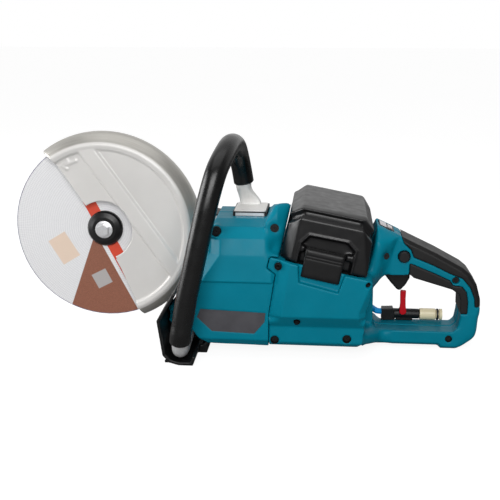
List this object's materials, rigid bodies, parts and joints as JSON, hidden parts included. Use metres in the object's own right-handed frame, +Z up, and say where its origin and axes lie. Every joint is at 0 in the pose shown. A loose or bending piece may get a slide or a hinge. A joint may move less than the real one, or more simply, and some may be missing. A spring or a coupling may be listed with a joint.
{
  "type": "rescue saw",
  "caption": "Battery-powered rescue cut-off saw with abrasive wheel, adjustable guard, wrap-around front handle, rear loop handle, hinged battery cover and water feed.",
  "frame": {"origin": "middle of the base of the bounding box, on the surface that the skid and the rear foot stand on", "axes": "+X from the wheel to the rear handle, +Y to the operator's right, the belt side, +Z up"},
  "size_m": [0.5828, 0.22, 0.2658],
  "materials": {
    "teal_shell": "satin moulded nylon, teal",
    "black_cover": "satin moulded plastic, black with a fine grain",
    "black_plastic": "matt moulded plastic, black",
    "grip_rubber": "soft matt elastomer, black",
    "sleeve_rubber": "smooth rubber sleeve with a soft sheen, black",
    "guard_paint": "pressed sheet metal, warm silver paint, brushed rim",
    "abrasive_disc": "resin bonded abrasive with a woven face, printed",
    "bright_steel": "bright plated steel",
    "dark_steel": "black oxide steel",
    "cast_aluminium": "cast and machined aluminium",
    "motor_iron": "laminated iron with windings",
    "red_plastic": "red moulded plastic",
    "cream_plastic": "cream acetal",
    "blue_hose": "blue polyurethane hose",
    "plate_grey": "dark grey label film",
    "inner_black": "moulded plastic, inside the housing"
  },
  "bodies": {
    "body": {"battery_pack_far": "inner_black", "battery_pack_near": "inner_black", "belt_cover": "black_plastic", "bracket_pad": "grip_rubber", "connector_oring": "grip_rubber", "control_panel": "black_plastic", "controller": "inner_black", "cover_hinge_pin": "bright_steel", "cutting_arm": "cast_aluminium", "drive_belt": "grip_rubber", "front_skid": "black_plastic", "grip_inner": "grip_rubber", "grip_outer": "grip_rubber", "guard_clamp_ring": "dark_steel", "handle_bracket": "bright_steel", "handle_sleeve": "sleeve_rubber", "handle_tube": "bright_steel", "hose_connector": "cream_plastic", "motor_bearing_far": "bright_steel", "motor_bearing_near": "bright_steel", "motor_housing_left": "teal_shell", "motor_housing_right": "teal_shell", "motor_stator": "motor_iron", "rating_plate": "plate_grey", "rear_housing_left": "teal_shell", "rear_housing_right": "teal_shell", "screw_bottom_front": "dark_steel", "screw_bottom_rear": "dark_steel", "screw_grip_bottom": "dark_steel", "screw_grip_top": "dark_steel", "screw_motor_front": "dark_steel", "screw_neck": "dark_steel", "screw_shoulder": "dark_steel", "spindle_bearing_far": "bright_steel", "spindle_bearing_near": "bright_steel", "switch_module": "inner_black", "terminal_block": "inner_black", "trigger_pin": "bright_steel", "valve_body": "black_plastic", "water_hose": "blue_hose", "water_nozzle": "black_plastic"},
    "blade": {"cutting_disc": "abrasive_disc", "outer_flange": "dark_steel", "inner_flange": "dark_steel", "wheel_bolt": "bright_steel", "spindle": "bright_steel", "driven_pulley": "cast_aluminium"},
    "rotor": {"motor_rotor": "bright_steel", "cooling_fan": "inner_black", "drive_pulley": "cast_aluminium"},
    "guard": {"wheel_guard": "guard_paint"},
    "trigger": {"trigger": "black_plastic"},
    "lock_off": {"lock_off_button": "black_plastic"},
    "power_button": {"power_button": "black_plastic"},
    "spindle_lock": {"spindle_lock_button": "black_plastic"},
    "cover": {"battery_cover": "black_cover"},
    "latch": {"cover_latch": "black_plastic"},
    "pack_button_near": {"pack_button_near": "inner_black"},
    "pack_button_far": {"pack_button_far": "inner_black"},
    "valve_lever": {"valve_lever": "red_plastic"}
  },
  "joints": [
    {"name": "blade_spin", "type": "hinge", "parent": "body", "child": "blade", "pos_m": [-0.17635, 0.02765, 0.1377], "axis": [0, -1, 0], "continuous": true},
    {"name": "motor_spin", "type": "hinge", "parent": "body", "child": "rotor", "pos_m": [-0.00405, 0.01765, 0.104], "axis": [0, -1, 0], "continuous": true},
    {"name": "guard_swing", "type": "hinge", "parent": "body", "child": "guard", "pos_m": [-0.17635, 0.02765, 0.1377], "axis": [0, -1, 0], "range_deg": [-20, 50]},
    {"name": "trigger_pull", "type": "hinge", "parent": "body", "child": "trigger", "pos_m": [0.17845, 0.01765, 0.097], "axis": [0, -1, 0], "range_deg": [0, 10], "stiffness_Nm_per_rad": 1.5, "springref_deg": -5.73},
    {"name": "lock_off_press", "type": "slide", "parent": "body", "child": "lock_off", "axis": [0, 1, 0], "range_m": [0, 0.0035], "stiffness_N_per_m": 400, "springref_m": -0.002},
    {"name": "power_press", "type": "slide", "parent": "body", "child": "power_button", "axis": [-0.4235, 0, -0.9059], "range_m": [0, 0.0014], "stiffness_N_per_m": 400, "springref_m": -0.001},
    {"name": "spindle_lock_press", "type": "slide", "parent": "body", "child": "spindle_lock", "axis": [0, -1, 0], "range_m": [0, 0.003], "stiffness_N_per_m": 600, "springref_m": -0.002},
    {"name": "cover_open", "type": "hinge", "parent": "body", "child": "cover", "pos_m": [0.09944, 0.10515, 0.1086], "axis": [-0.9795, 0, 0.2012], "range_deg": [0, 100]},
    {"name": "latch_lift", "type": "hinge", "parent": "cover", "child": "latch", "pos_m": [0.10419, -0.05235, 0.13172], "axis": [-0.9795, 0, 0.2012], "range_deg": [0, 35]},
    {"name": "pack_release_near", "type": "slide", "parent": "body", "child": "pack_button_near", "axis": [-0.9795, 0, 0.2012], "range_m": [0, 0.003], "stiffness_N_per_m": 500, "springref_m": -0.002},
    {"name": "pack_release_far", "type": "slide", "parent": "body", "child": "pack_button_far", "axis": [-0.9795, 0, 0.2012], "range_m": [0, 0.003], "stiffness_N_per_m": 500, "springref_m": -0.002},
    {"name": "valve_turn", "type": "hinge", "parent": "body", "child": "valve_lever", "pos_m": [0.20095, 0.02765, 0.0366], "axis": [0, 1, 0], "range_deg": [0, 90]}
  ],
  "couplings": [
    {"joint": "motor_spin", "follows": "blade_spin", "ratio": 1.3636}
  ]
}
